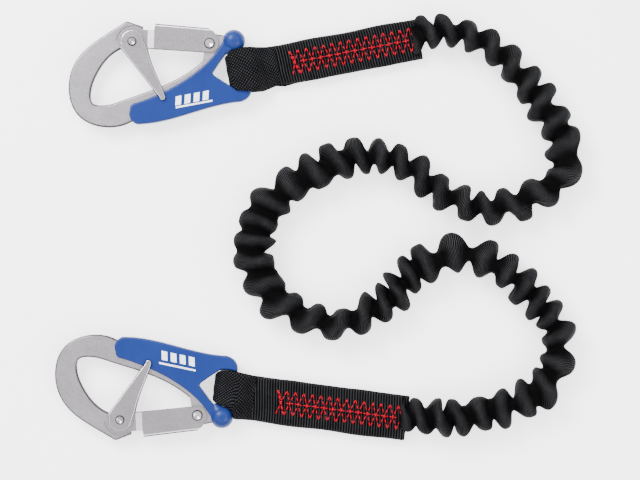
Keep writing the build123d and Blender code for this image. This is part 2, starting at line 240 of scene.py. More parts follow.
# ---- material helpers ---------------------------------------------------------------------------
class Shader:
    """Builds one node material step by step."""

    def __init__(self, name):
        self.material = bpy.data.materials.new(name)
        self.material.use_nodes = True
        self.nodes = self.material.node_tree.nodes
        self.links = self.material.node_tree.links
        self.surface = self.nodes["Principled BSDF"]

    def node(self, kind, **settings):
        made = self.nodes.new(kind)
        for key, value in settings.items():
            setattr(made, key, value)
        return made

    def link(self, source, target):
        self.links.new(source, target)

    def math(self, operation, a, b=None):
        """a and b are numbers or sockets."""
        made = self.node("ShaderNodeMath", operation=operation)
        for socket, value in zip(made.inputs, (a, b)):
            if value is None:
                continue
            if isinstance(value, (int, float)):
                socket.default_value = value
            else:
                self.link(value, socket)
        return made.outputs[0]

    def place(self, kind="Object"):
        """Where the shaded point is, or its own normal or weave coordinates."""
        return self.node("ShaderNodeTexCoord").outputs[kind]

    def scaled(self, vector, scale, degrees=0.0):
        """The vector turned about z and stretched."""
        made = self.node("ShaderNodeMapping")
        self.link(vector, made.inputs["Vector"])
        made.inputs["Scale"].default_value = scale
        made.inputs["Rotation"].default_value = (0, 0, math.radians(degrees))
        return made.outputs[0]

    def noise(self, vector, scale, detail=3.0, roughness=0.5):
        made = self.node("ShaderNodeTexNoise")
        self.link(vector, made.inputs["Vector"])
        made.inputs["Scale"].default_value = scale
        made.inputs["Detail"].default_value = detail
        made.inputs["Roughness"].default_value = roughness
        return made.outputs["Fac"]

    def waves(self, vector, scale, distortion=0.0, direction="X"):
        """Bands across that direction, from 0 to 1."""
        made = self.node("ShaderNodeTexWave", bands_direction=direction)
        self.link(vector, made.inputs["Vector"])
        made.inputs["Scale"].default_value = scale
        made.inputs["Distortion"].default_value = distortion
        made.inputs["Detail"].default_value = 1.0
        return made.outputs["Fac"]

    def ramp(self, factor, stops):
        """The colour at that factor, between stops of (factor, colour)."""
        made = self.node("ShaderNodeValToRGB")
        self.link(factor, made.inputs[0])
        elements = made.color_ramp.elements
        while len(elements) < len(stops):
            elements.new(0.5)
        for element, (position, colour) in zip(elements, stops):
            element.position = position
            element.color = (*colour, 1.0)
        return made.outputs[0]

    def level(self, factor, low, high):
        """A factor from 0 to 1 brought between low and high."""
        made = self.node("ShaderNodeMapRange")
        self.link(factor, made.inputs["Value"])
        made.inputs["To Min"].default_value = low
        made.inputs["To Max"].default_value = high
        return made.outputs[0]

    def bump(self, height, distance, strength=1.0, below=None):
        """The normal of that relief, on top of the one below."""
        made = self.node("ShaderNodeBump")
        self.link(height, made.inputs["Height"])
        made.inputs["Distance"].default_value = distance
        made.inputs["Strength"].default_value = strength
        if below is not None:
            self.link(below, made.inputs["Normal"])
        return made.outputs[0]

    def finish(self, colour=None, roughness=None, normal=None, **constants):
        """Links what the surface takes and returns the material."""
        if colour is not None:
            self.link(colour, self.surface.inputs["Base Color"])
        if roughness is not None:
            self.link(roughness, self.surface.inputs["Roughness"])
        if normal is not None:
            self.link(normal, self.surface.inputs["Normal"])
        for key, value in constants.items():
            self.surface.inputs[key.replace("_", " ")].default_value = value
        return self.material


WAVE_PHASE = 20                 # how fast the wave texture's phase grows with its scale


def wave_scale(period):
    """The wave texture's scale for bands that far apart."""
    return 2 * math.pi / (WAVE_PHASE * period)


def painted_rim_highlight_and_shade(s, face_colour, rim_highlight):
    """Painted shade on the steep cut side walls and a painted highlight on the round of each rim, as
    bright as the rim highlight value says, next to 1 on the flat faces. The piece's own upright direction
    tells them apart, so they keep their places when the hook swings."""
    split = s.node("ShaderNodeSeparateXYZ")
    s.link(s.place("Normal"), split.inputs[0])
    upright = s.math("ABSOLUTE", split.outputs["Z"])
    # Colour multipliers by how upright the normal is: painted shade on the side walls, a painted highlight
    # on the rims.
    rim_shading = s.ramp(upright, [(0.30, (0.14, 0.14, 0.15)), (0.50, (0.02, 0.02, 0.025)),
                            (0.86, (0.05, 0.05, 0.055)), (0.93, (rim_highlight, rim_highlight, rim_highlight)),
                            (0.98, (rim_highlight, rim_highlight, rim_highlight)), (0.998, (1, 1, 1))])
    mix = s.node("ShaderNodeMix", data_type="RGBA", blend_type="MULTIPLY")
    mix.inputs["Factor"].default_value = 1.0
    s.link(face_colour, mix.inputs["A"])
    s.link(rim_shading, mix.inputs["B"])
    return mix.outputs["Result"]


def satin_steel(name, light, dark, grain, rim_highlight):
    """Blasted and tumbled stainless: fine grain, a few faint scuffs, slightly uneven gloss, and a painted
    highlight on the rims with painted shade on the side walls.
    """
    s = Shader(name)
    place = s.place()
    cloud = s.noise(place, 60, 4)
    fine = s.noise(place, 2600, 2)
    scuffs = s.noise(s.scaled(place, (160, 500, 160), 25), 1.0, 5, 0.65)
    speck = s.noise(place, 700, 3, 0.7)
    colour = s.ramp(s.math("ADD", s.math("MULTIPLY", cloud, 0.4), s.math("MULTIPLY", speck, 0.6)),
                    [(0.34, dark), (0.62, light)])
    roughness = s.level(s.math("ADD", s.math("MULTIPLY", fine, 0.5), s.math("MULTIPLY", scuffs, 0.5)),
                        grain - 0.08, grain + 0.10)
    normal = s.bump(fine, 0.00004, 0.5, s.bump(scuffs, 0.00002, 0.2))
    # The rims get a painted highlight and the side walls painted shade, multiplied into the colour.
    return s.finish(painted_rim_highlight_and_shade(s, colour, rim_highlight), roughness, normal, Metallic=1.0)


def spring_steel():
    """Drawn wire with fine lengthwise lines."""
    s = Shader("spring_steel")
    lines = s.noise(s.scaled(s.place(), (300, 3000, 3000)), 1.0, 3)
    colour = s.ramp(lines, [(0.3, (0.16, 0.16, 0.17)), (0.7, (0.34, 0.34, 0.35))])
    return s.finish(colour, s.level(lines, 0.28, 0.42), s.bump(lines, 0.00003, 0.5), Metallic=1.0)


def blue_plastic():
    """Moulded plastic: fine spark-eroded texture, faint flow marks and a randomly uneven tone."""
    s = Shader("blue_plastic")
    place = s.place()
    cloud = s.noise(place, 45, 4)
    fine = s.noise(place, 2200, 3)
    marks = s.noise(s.scaled(place, (700, 60, 60), 12), 1.0, 4, 0.7)
    colour = s.ramp(s.math("ADD", s.math("MULTIPLY", cloud, 0.7), s.math("MULTIPLY", marks, 0.3)),
                    [(0.30, (0.0075, 0.020, 0.110)), (0.70, (0.0100, 0.026, 0.135))])
    normal = s.bump(fine, 0.00006, 0.7, s.bump(marks, 0.00003, 0.3))
    return s.finish(colour, s.level(fine, 0.24, 0.36), normal, Specular_IOR_Level=0.14)


def webbing_black(name, dark, light, height):
    """Woven polyester: height is the weave's relief from 0 to 1, as a function of the shader."""
    s = Shader(name)
    relief = height(s)
    fuzz = s.noise(s.place(), 1500, 4, 0.7)
    cloud = s.noise(s.place(), 120, 3)
    mix = s.math("ADD", s.math("MULTIPLY", relief, 0.6),
                 s.math("ADD", s.math("MULTIPLY", fuzz, 0.15), s.math("MULTIPLY", cloud, 0.25)))
    colour = s.ramp(mix, [(0.42, dark), (0.80, light)])
    normal = s.bump(fuzz, 0.00012, 0.6, s.bump(relief, 0.0004, 0.9))
    return s.finish(colour, s.level(fuzz, 0.50, 0.70), normal, Specular_IOR_Level=0.03)


def twill_relief(s):
    """Diagonal floats 1.3 mm apart, broken into short yarns."""
    place = s.place("UV")
    plain = (1, 1, 1)
    diagonal = s.waves(s.scaled(place, plain, 52), 240, 2.0)
    yarns = s.waves(s.scaled(place, plain, -38), 200, 3.0)
    return s.math("MULTIPLY", diagonal, s.level(yarns, 0.40, 1.0))


def rib_relief(s):
    """Fine ribs across the tube, 1 mm apart, with the warp's finer lines along it."""
    place = s.place("UV")
    ribs = s.math("POWER", s.waves(place, 290, 1.2, "Y"), 2.5)
    yarns = s.waves(place, 900, 1.0, "X")
    return s.math("MULTIPLY", ribs, s.level(yarns, 0.7, 1.0))


def sewn_relief(s):
    """Broad cross ribs of the flattened tube, each as wide as in its shape."""
    place = s.place("UV")
    ribs = s.waves(place, wave_scale(RIB), 0.4, "Y")
    yarns = s.waves(place, 700, 1.0, "X")
    return s.math("MULTIPLY", ribs, s.level(yarns, 0.6, 1.0))


def ribs_with_painted_pleat_shade(s):
    """The fine ribs, full on the pleats' crests and faded between them, which paints shade into the gaps
    between the pleats.
    """
    # Painted shade: one band per pleat that darkens the weave in the gaps.
    pleat_shade = s.waves(s.place("UV"), wave_scale(FABRIC_PER_PLEAT), 0.0, "Y")
    return s.math("MULTIPLY", rib_relief(s), s.level(pleat_shade, 1.0, 0.25))


def red_thread():
    """Bonded thread: twisted plies and a slight sheen."""
    s = Shader("red_thread")
    plies = s.waves(s.scaled(s.place(), (1, 1, 1), 35), 900, 1.0)
    fuzz = s.noise(s.place(), 900, 3)
    colour = s.ramp(s.math("ADD", s.math("MULTIPLY", plies, 0.5), s.math("MULTIPLY", fuzz, 0.5)),
                    [(0.2, (0.19, 0.0004, 0.006)), (0.75, (0.39, 0.0008, 0.015))])
    return s.finish(colour, s.level(fuzz, 0.45, 0.65), s.bump(plies, 0.0001, 0.8),
                    Specular_IOR_Level=0.08)


def latex():
    """Pale rubber with a trace of talc."""
    s = Shader("latex")
    powder = s.noise(s.place(), 500, 4)
    colour = s.ramp(powder, [(0.3, (0.42, 0.33, 0.20)), (0.7, (0.62, 0.52, 0.36))])
    return s.finish(colour, s.level(powder, 0.45, 0.7), s.bump(powder, 0.0001, 0.4))


def white_print():
    """Pad-printed ink with slightly thin spots."""
    s = Shader("white_print")
    thin = s.noise(s.place(), 700, 4, 0.7)
    colour = s.ramp(thin, [(0.3, (0.66, 0.69, 0.78)), (0.55, (0.86, 0.87, 0.90))])
    return s.finish(colour, s.level(thin, 0.40, 0.6), s.bump(thin, 0.00002, 0.4))


# ---- elastic tube -------------------------------------------------------------------------------
VALLEY_HALF = 0.0044        # half the tube's width between pleats
LOBE_HALF = 0.0115          # half its width over a pleat
VALLEY_HIGH = 0.0044        # half its height between pleats
LOBE_HIGH = 0.0098          # half its height over a pleat
OVERLAP = 0.0045            # the gathers begin this far back over each strap
THINNEST = 0.0034           # half its width at its narrowest gap, just outside the rubber
MUSHROOM = 0.0009           # how far a pleat's flanks lean out over the gaps beside it
TOP_FULL = 0.3              # how broad the pleats are on top: almost a plain wave
SIDE_ROUND = 0.80           # how square the tube's section is at its sides: 1 is an ellipse
TOP_ROUND = 0.92            # and at its top
RIDGE_SHARP = 1.9           # how sharply a pleat rises on top
RIPPLES = (0.0006, 0.0005)  # how far a pleat wanders along the tube on its way round, slow and quick
SMALL_FOLDS = 0.00035       # height of the small folds in the gaps
CROWDING = 1.4              # how fast a bend crowds the pleats on its inside
MOST_CROWDED = 0.75
CROWDED_LOSS = 0.22         # how much less a fully crowded pleat stands out
TUBE_ROUND = 0.055          # the webbing's width round the tube, for its weave
AROUND = 72                 # points in a ring
STEP = 0.0005               # from ring to ring
SLEEVE_SEED = 7

# How the pleats change along the tube, from 0 at strap a to 1 at strap b: the distance from one to
# the next, and how much further on a pleat's crest is at the tube's left edge than on its top.
PITCH = [(0, 0.0120), (0.10, 0.0145), (0.18, 0.0158), (0.25, 0.0140), (0.33, 0.0128), (0.42, 0.0145),
         (0.50, 0.0150), (0.62, 0.0145), (0.67, 0.0112), (0.71, 0.0155), (0.76, 0.0130), (0.82, 0.0122),
         (0.87, 0.0160), (0.92, 0.0150), (0.95, 0.0118), (1, 0.0112)]
SLANT = [(0, -0.0035), (0.15, -0.0040), (0.30, -0.0035), (0.40, -0.0030), (0.45, -0.0015),
         (0.50, -0.0010), (0.54, 0.0040), (0.62, 0.0040), (0.66, 0.0020), (0.72, 0.0005),
         (0.78, -0.0025), (0.84, -0.0020), (0.88, 0.0025), (0.92, 0.0010), (0.95, -0.0026), (1, -0.0036)]

# Where the wide pleats are, and on which side.
WIDE_PLEATS = [(0.25, "left"), (0.395, "right"), (0.70, "left"), (0.785, "right")]

# How wide the tube is along its length; a wide stretch has shallow gaps.
WIDTH = [(0, 1.0), (0.05, 0.85), (0.10, 1.0), (0.17, 1.25), (0.24, 1.0), (0.32, 0.85), (0.36, 0.90),
         (0.40, 1.20), (0.46, 1.28), (0.53, 1.42), (0.57, 1.05), (0.63, 1.0), (0.69, 1.25), (0.73, 1.05),
         (0.82, 0.98), (0.88, 1.25), (0.94, 1.10), (1, 1.12)]

# How much one pleat differs from the next, as shares between two values or as a spread in metres.
PITCH_SHARE = (0.74, 1.26)
TOP_SHARE = (0.84, 1.05)
LOBE_SHARE = (0.82, 1.10)
GAP_SHARE = (0.55, 1.35)
FULLNESS = (0.2, 1.5)
SLANT_SPREAD = 0.0010
LEAN_SPREAD = 0.0010

# A wide pleat stands out this much on its side, is this full and takes this much more of the length.
WIDE_LOBE = 1.08
WIDE_FULLNESS = 2.6
WIDE_PITCH = 1.25


def profile(points, at):
    """The value at that place of a line through the points."""
    return np.interp(at, [p[0] for p in points], [p[1] for p in points])


def pleats(length, random):
    """Where each pleat's crest meets the tube's left and right side, how far it stands out there,
    how it leans and how full it is."""
    rows = []
    before, past = 0.002, 0.020
    at = -before
    while at < length + past:
        share = at / length
        pitch = profile(PITCH, share) * random.uniform(*PITCH_SHARE)
        row = {
            "middle": at,
            "slant": profile(SLANT, share) + random.normal(0, SLANT_SPREAD),
            "top": random.uniform(*TOP_SHARE),
        }
        for side in ("left", "right"):
            row[side] = random.uniform(*LOBE_SHARE)
            row[side + "_gap"] = random.uniform(*GAP_SHARE)
            row[side + "_lean"] = random.normal(0, LEAN_SPREAD)
            row[side + "_full"] = random.uniform(*FULLNESS)
        for place, side in WIDE_PLEATS:
            if abs(share - place) < 0.5 * pitch / length:
                row[side] = WIDE_LOBE
                row[side + "_full"] = WIDE_FULLNESS
                pitch *= WIDE_PITCH
        rows.append(row)
        at += pitch
    return rows


def spread(rows, key):
    """That value of every pleat."""
    return np.array([row[key] for row in rows])


def bend_towards_left(at, ahead):
    """How sharply the line turns left at each point, as one over the radius."""
    heading = np.unwrap(np.arctan2(ahead[:, 1], ahead[:, 0]))
    turn = np.gradient(heading, at)
    smoothed_over = 31
    window = np.hanning(smoothed_over)
    return np.convolve(turn, window / window.sum(), mode="same")


def pleat_profile(phase, swell):
    """1 on a pleat's crest and 0 in the gap between two; a full pleat has a broad crest."""
    return 0.5 + 0.5 * np.tanh(swell * np.cos(2 * math.pi * phase)) / np.tanh(swell)


def rounded_power(value, power):
    """The value raised to that power, with its sign kept."""
    return np.sign(value) * abs(value) ** power


def sleeve_strip(theta, at, rows, wobble, curve):
    """The tube's surface at that angle round it, all along its length: how far out to the side, up and
    along it lies from the tube's middle, and how many pleats come before it."""
    number = np.arange(len(rows))
    c, d = math.cos(theta), math.sin(theta)
    edge = "left" if c > 0 else "right"

    slow, quick = RIPPLES
    ripple = slow * np.sin(2 * theta + wobble[0]) + quick * np.sin(5 * theta + wobble[1])
    phase = np.interp(at, spread(rows, "middle") + spread(rows, "slant") * c + ripple, number)
    swell = np.interp(phase, number, spread(rows, edge + "_full"))
    bulge = pleat_profile(phase, swell)
    ridge = pleat_profile(phase, TOP_FULL) ** RIDGE_SHARP

    # A pleat stands out less, and leans less, where it is crowded on the inside of a bend.
    crowded = np.clip(curve * np.sign(c) * LOBE_HALF * CROWDING, 0, MOST_CROWDED)
    lobe = LOBE_HALF * np.interp(phase, number, spread(rows, edge)) * (1 - CROWDED_LOSS * crowded)
    gap = VALLEY_HALF * np.interp(phase, number - 0.5, spread(rows, edge + "_gap"))
    width = profile(WIDTH, at / at[-1])
    lobe, gap = lobe * width ** 0.5, np.maximum(gap * width ** 2, THINNEST)
    high = LOBE_HIGH * np.interp(phase, number, spread(rows, "top"))
    rise = VALLEY_HIGH + (high - VALLEY_HIGH) * (abs(c) * bulge + (1 - abs(c)) * ridge)

    folds = np.sin(4 * math.pi * phase + wobble[2][0] + 1.5 * math.sin(2 * theta))
    out = rounded_power(c, SIDE_ROUND) * (gap + (lobe - gap) * bulge)
    up = rounded_power(d, TOP_ROUND) * rise + SMALL_FOLDS * folds * d * (1 - bulge)

    lean = np.interp(phase, number, spread(rows, edge + "_lean")) * abs(c) * (1 - crowded)
    flare = MUSHROOM * c * c * (1 - crowded)
    along = lean * bulge + flare * np.sin(2 * math.pi * phase)
    return out, up, along, phase


def sleeve_rings(at, points, ahead, random):
    """The gathered webbing's surface, ring by ring, and its weave coordinates."""
    rows = pleats(at[-1], random)
    wobble = random.uniform(0, 2 * math.pi, (3, len(rows)))
    curve = bend_towards_left(at, ahead)
    rings = np.empty((len(at), AROUND, 3))
    uvs = np.empty((len(at), AROUND, 2))
    up = np.array([0, 0, 1.0])
    side = np.cross(up, ahead)
    for j in range(AROUND):
        theta = 2 * math.pi * j / AROUND
        x, z, along, phase = sleeve_strip(theta, at, rows, wobble, curve)
        rings[:, j] = points + side * x[:, None] + up * z[:, None] + ahead * along[:, None]
        uvs[:, j, 0] = theta / (2 * math.pi) * TUBE_ROUND
        uvs[:, j, 1] = phase * FABRIC_PER_PLEAT
    return rings, uvs


def settle_on_straps(rings, at):
    """Where the tube lies over a sewn strap it is flattened on top of it; elsewhere it stays on the
    floor."""
    strap_top = 2 * WEBBING + SEWN_END + LIFT
    sunk = 0.0008
    down_over, swells_over = 0.004, 0.012
    flattest = 0.06
    from_end = np.minimum(at, at[-1] - at)
    blend = np.clip((from_end - OVERLAP) / down_over, 0, 1)
    lowest = (strap_top - sunk) * (1 - blend) + LIFT * blend
    rings[:, :, 2] = np.maximum(rings[:, :, 2], lowest[:, None])
    squash = np.clip(from_end / swells_over, flattest, 1)
    flat = strap_top + (rings[:, :, 2] - strap_top) * squash[:, None]
    rings[:, :, 2] = np.where(rings[:, :, 2] > strap_top, flat, rings[:, :, 2])
    return rings


def elastic_line():
    """The tube's smooth line, begun a little way back over each strap."""
    points = route_points()
    line = smooth_line(points)
    first, last = exit_point(ENDS["a"], -OVERLAP), exit_point(ENDS["b"], -OVERLAP)
    return np.vstack([np.array(first), line, np.array(last)])


def make_sleeve():
    """The gathered webbing tube; returns it and the points of its middle line."""
    random = np.random.default_rng(SLEEVE_SEED)
    at, points, ahead = walk(elastic_line(), STEP)
    rings, uvs = sleeve_rings(at, points, ahead, random)
    rings = settle_on_straps(rings, at)
    verts, faces = tube_mesh(rings)
    piece = add_object("gathered_sleeve", verts, faces, uvs.reshape(-1, 2))
    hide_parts("webbing_sleeve")
    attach(piece, "webbing")
    return piece, points


STRANDS = 7
STRAND_R = 0.0009
STRAND_SIDES = 8
STRAND_STEPS = slice(40, -40, 10)   # the tube's points that the strands follow, clear of its ends


def make_core(points):
    """Rubber strands, six laid round one."""
    core_line = points[STRAND_STEPS]
    ahead = directions(core_line)
    up = np.array([0, 0, 1.0])
    side = np.cross(up, ahead)
    verts, faces = [], []
    for strand in range(STRANDS):
        turn = strand * math.pi / 3
        out = 0 if strand == STRANDS - 1 else 2 * STRAND_R
        centre = core_line + side * out * math.cos(turn) + up * out * math.sin(turn)
        rings = np.stack([centre + side * STRAND_R * math.cos(a) + up * STRAND_R * math.sin(a)
                          for a in np.linspace(0, 2 * math.pi, STRAND_SIDES, endpoint=False)], axis=1)
        add_to(verts, faces, tube_mesh(rings))
    piece = add_object("rubber_strands", verts, faces)
    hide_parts("elastic_core")
    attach(piece, "webbing")
    return piece


# ---- straps -------------------------------------------------------------------------------------
SLOT_HALF = 0.0092          # half the width that the webbing is bunched to beside the bar
SLOT_REACH = 0.002          # the fold is in the slot up to this far along the strap
FOLD_DEPTH = 0.0042         # the fold is bunched this far above and below the hook's middle plane
FOLD_EASE = 0.0018          # and widens again over this height
FOLD_INSIDE = 0.0036        # radius inside the fold
FOLD_FROM = -82             # where the fold begins under the bar, as a turn from the strap's direction
FOLD_SWEEP = 196            # and how far it goes round the bar
FOLD_STEPS = 12
STRAP_COLUMNS = 25
STRAP_STEP = 0.0007


def fold_path():
    """The webbing's middle line seen from the side, as (along, height): bottom leg, fold, top leg."""
    half = WEBBING / 2
    fold_r = FOLD_INSIDE + half
    points = [(STRAP_LENGTH, half + LIFT), (0.020, half + LIFT), (0.012, half + LIFT + 0.0002)]
    for step in range(FOLD_STEPS + 1):
        turn = math.radians(FOLD_FROM - step * FOLD_SWEEP / FOLD_STEPS)
        points.append((fold_r * math.cos(turn), HOOK_Z + fold_r * math.sin(turn)))
    top = 3 * half + LIFT
    points += [(0.0095, top + 0.0080), (0.0142, top + 0.0034), (0.0190, top), (0.030, top),
               (STRAP_LENGTH - 0.002, top)]
    return [Vector((x, 0, z)) for x, z in points]


def strap_edges(end, along):
    """Where the strap's left and right edges are at that distance from the bar."""
    middle = profile(end["bend"], along)
    return middle + profile(end["left"], along), middle - profile(end["right"], along)


def held_in_slot(end, line, left, right):
    """Where the fold passes the hook's plate and cover, it is bunched into the slot beside the bar."""
    off_bar = side_of(end) * end["shift"]
    beside = (FOLD_DEPTH - abs(line[:, 2] - HOOK_Z)) / FOLD_EASE
    share = np.clip(beside, 0, 1) * (line[:, 0] < SLOT_REACH)
    narrow_left = np.minimum(left, SLOT_HALF - off_bar)
    narrow_right = np.maximum(right, -SLOT_HALF - off_bar)
    return left + share * (narrow_left - left), right + share * (narrow_right - right)


def ribbon(line_at, line, ahead, left, right, thickness):
    """A flat band with rounded edges along a line in the side view; returns rings and weave
    coordinates."""
    columns = STRAP_COLUMNS
    across = np.linspace(-1, 1, columns)
    edge = np.sqrt(np.clip(1 - np.abs(across) ** 12, 0, 1))
    thinnest_edge = 0.25
    fine, coarse = 0.00012, 0.00010
    normal = np.stack([-ahead[:, 2], np.zeros(len(line)), ahead[:, 0]], axis=1)
    rings = np.empty((len(line), 2 * columns, 3))
    uvs = np.empty((len(line), 2 * columns, 2))
    for j, a in enumerate(across):
        y = (left + right) / 2 + a * (left - right) / 2
        ripple = fine * np.sin(line_at * 900 + 2.2 * a) + coarse * np.sin(line_at * 330 + 7 * a)
        for face, k in ((1, j), (-1, 2 * columns - 1 - j)):
            offset = face * thickness / 2 * max(edge[j], thinnest_edge) + ripple
            rings[:, k] = line + normal * np.reshape(offset, (-1, 1))
            rings[:, k, 1] = y
            uvs[:, k, 0] = a * STRAP_WIDTH / 2
            uvs[:, k, 1] = line_at
    return rings, uvs


def make_loop_strap(letter, end):
    """Twill webbing folded round the hook's rear bar."""
    line_at, line, ahead = walk(smooth_line(fold_path()), STRAP_STEP)
    left, right = held_in_slot(end, line, *strap_edges(end, line[:, 0]))
    between_layers = 0.0002
    rings, uvs = ribbon(line_at, line, ahead, left, right, WEBBING - between_layers)
    verts, faces = tube_mesh(rings)
    world = strap_matrix(end)
    piece = add_object(f"loop_webbing_{letter}", [world @ Vector(v) for v in verts], faces,
                       uvs.reshape(-1, 2))
    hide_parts(f"loop_strap_{letter}")
    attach(piece, "webbing")
    return piece


# ---- sewn ends of the tube ----------------------------------------------------------------------
SEWN_ROWS = 420
SEWN_COLUMNS = 27
SEWN_SEEDS = {"a": 11, "b": 12}
SEWN_DOWN = 0.0004          # the seam presses the flattened tube this much thinner
RIB_RELIEF = 0.00020        # how far a rib stands out
QUILT = 0.00035             # how far the seam draws the middle down
QUILT_HALF = 0.55           # half the width that it draws down, as a share of the half width
RIB_SLANT = 0.0011          # how much further on a rib is at the left edge than in the middle
RIB_WANDER = 0.0003         # how far a rib strays from straight
EDGE_LEFT = 0.12            # share of its thickness at its sides
EDGE_RIBS = 0.2             # and of the ribs' relief
ROLLED_EDGE = 0.0003        # the underside is this much narrower on each side
OFF_STRAP = 0.00005         # and lies this far off the strap
SEWN_TUCK = 0.001           # the flattened tube stops this far before the strap's end


def sewn_shape(end, along, wander):
    """The flattened tube's half width all along it, a little wavy and drawn in at its front edge, and
    how much of its thickness it has there."""
    behind_front = along - end["seam"]
    wave, radians_per_metre = 0.0003, 150
    drawn_in, drawn_over = 0.05, 0.002
    thinned, thinned_over = 0.55, 0.0012
    half = end["sewn"] / 2 + wave * np.sin(along * radians_per_metre + wander)
    half = half * (1 - drawn_in * np.exp(-behind_front / drawn_over))
    front = 1 - thinned * np.exp(-behind_front / thinned_over)
    return half, front


def sewn_rings(end, along, random):
    """The flattened tube's surface, from its front edge back, and its weave coordinates: ribs on top,
    its sides rolled down to the strap, and a flat underside."""
    wander = random.uniform(0, 2 * math.pi, 3)
    base = 2 * WEBBING + LIFT
    across = np.linspace(-1, 1, SEWN_COLUMNS)
    edge = (1 - np.abs(across) ** 6) ** 0.4
    half, front = sewn_shape(end, along, wander[0])
    middle = profile(end["bend"], along)
    rings = np.empty((len(along), SEWN_COLUMNS + 2, 3))
    uvs = np.zeros((len(along), SEWN_COLUMNS + 2, 2))
    for j, a in enumerate(across):
        slanted = along + RIB_SLANT * a + RIB_WANDER * np.sin(2.5 * a + wander[1])
        rib = rounded_power(np.cos(2 * math.pi * slanted / RIB), 0.7)
        relief = RIB_RELIEF * rib * max(edge[j], EDGE_RIBS)
        quilt = QUILT * math.exp(-(a / QUILT_HALF) ** 4)
        crown = EDGE_LEFT + (1 - EDGE_LEFT) * edge[j]
        top = base + (SEWN_END - SEWN_DOWN - quilt) * crown * front + relief
        rings[:, j + 1, 0] = along
        rings[:, j + 1, 1] = middle + a * half
        rings[:, j + 1, 2] = top
        uvs[:, j + 1, 0] = a * half
        uvs[:, j + 1, 1] = slanted
    for k, a in ((0, -1), (SEWN_COLUMNS + 1, 1)):
        rings[:, k, 0] = along
        rings[:, k, 1] = middle + a * (half - ROLLED_EDGE)
        rings[:, k, 2] = base + OFF_STRAP
        uvs[:, k, 0] = a * half
        uvs[:, k, 1] = along
    return rings, uvs


def make_sewn_end(letter, end):
    """The tube's flattened end: two layers with cross ribs, rolled edges and a cut front edge."""
    start, stop = end["seam"], STRAP_LENGTH - SEWN_TUCK
    along = np.linspace(start, stop, SEWN_ROWS)
    rings, uvs = sewn_rings(end, along, np.random.default_rng(SEWN_SEEDS[letter]))
    verts, faces = tube_mesh(rings)
    world = strap_matrix(end)
    piece = add_object(f"sewn_tube_end_{letter}", [world @ Vector(v) for v in verts], faces,
                       uvs.reshape(-1, 2))
    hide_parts(f"sewn_end_{letter}")
    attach(piece, "webbing")
    return piece


# ---- stitching ----------------------------------------------------------------------------------
STITCH_START = 0.033        # along the strap
STITCH_PITCH = 0.0052       # from one corner of a zigzag to the next, along it
STITCH_ROWS = 15            # legs in a zigzag
STITCH_HEIGHT = 0.0150      # how wide the zigzags are
THREAD_R = 0.00037
THREAD_SIDES = 8
STITCH_ARCH = 0.00045       # how high a stitch arches
STITCH_DIVE = 0.00030       # how deep its ends are in the cloth
STITCH_ENDS = 0.55          # how thick its ends are, as a share of its middle
STITCH_JITTER = 0.00010     # how far a stitch strays
STITCH_GAP = 0.09           # space before and after it, as a share of its length
STITCH_GAP_SPREAD = 0.05
STITCH_STEPS = 7            # rings in one stitch
STITCHES_PER_LEG = 5
STITCHES_PER_MIDDLE_LEG = 2
STITCH_SEEDS = {"a": 31, "b": 32}


def stitch(start, stop, height, face):
    """One stitch: a short thread that arches out of the cloth and dives back in."""
    ahead = (stop - start).normalized()
    side = Vector((-ahead.y, ahead.x, 0))
    rings = np.empty((STITCH_STEPS, THREAD_SIDES, 3))
    for i in range(STITCH_STEPS):
        f = i / (STITCH_STEPS - 1)
        arch = math.sin(math.pi * f)
        thin = THREAD_R * (STITCH_ENDS + (1 - STITCH_ENDS) * arch ** 0.5)
        centre = start.lerp(stop, f)
        level = height + face * (STITCH_ARCH * arch ** 0.6 - STITCH_DIVE)
        for j in range(THREAD_SIDES):
            a = 2 * math.pi * j / THREAD_SIDES
            point = centre + side * thin * math.cos(a)
            rings[i, j] = (point.x, point.y, level + thin * math.sin(a))
    return tube_mesh(rings)


def zigzag_legs(side):
    """The legs of one zigzag row, as pairs of points in the strap's plane."""
    half = STITCH_HEIGHT / 2
    corners = [(STITCH_START + k * STITCH_PITCH, side * half * (-1) ** k)
               for k in range(STITCH_ROWS + 1)]
    return list(zip(corners, corners[1:]))


def stitch_lines():
    """All the rows: two crossing zigzags, a straight row along the middle, and a back-tack."""
    legs = zigzag_legs(1) + zigzag_legs(-1)
    half = STITCH_HEIGHT / 2
    tack = 0.0006
    legs += [((STITCH_START - tack, half), (STITCH_START + STITCH_PITCH - tack, -half)),
             ((STITCH_START + tack, half * 0.9), (STITCH_START + STITCH_PITCH * 0.6, 0))]
    middle = [((STITCH_START + k * STITCH_PITCH, 0), (STITCH_START + (k + 1) * STITCH_PITCH, 0))
              for k in range(1, STITCH_ROWS - 1)]
    return legs, middle


def make_stitching(letter, end):
    """Red thread, sewn through all layers: every row shows on top and again underneath."""
    random = np.random.default_rng(STITCH_SEEDS[letter])
    top = 2 * WEBBING + LIFT + SEWN_END - SEWN_DOWN
    legs, middle = stitch_lines()
    cut = [(leg, STITCHES_PER_LEG) for leg in legs]
    cut += [(leg, STITCHES_PER_MIDDLE_LEG) for leg in middle]
    verts, faces = [], []
    underside = LIFT + 0.0001
    for face, height in ((1, top), (-1, underside)):
        for (start, stop), count in cut:
            start, stop = Vector((*start, 0)), Vector((*stop, 0))
            for k in range(count):
                gap = STITCH_GAP + STITCH_GAP_SPREAD * random.random()
                jitter = Vector((random.normal(0, STITCH_JITTER), random.normal(0, STITCH_JITTER), 0))
                a = start.lerp(stop, (k + gap) / count) + jitter
                b = start.lerp(stop, (k + 1 - gap) / count) + jitter
                add_to(verts, faces, stitch(a, b, height, face))
    verts = [(x, y + profile(end["bend"], x), z) for x, y, z in verts]
    world = strap_matrix(end)
    piece = add_object(f"zigzag_stitching_{letter}", [world @ Vector(v) for v in verts], faces)
    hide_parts(f"stitching_{letter}")
    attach(piece, "webbing")
    return piece


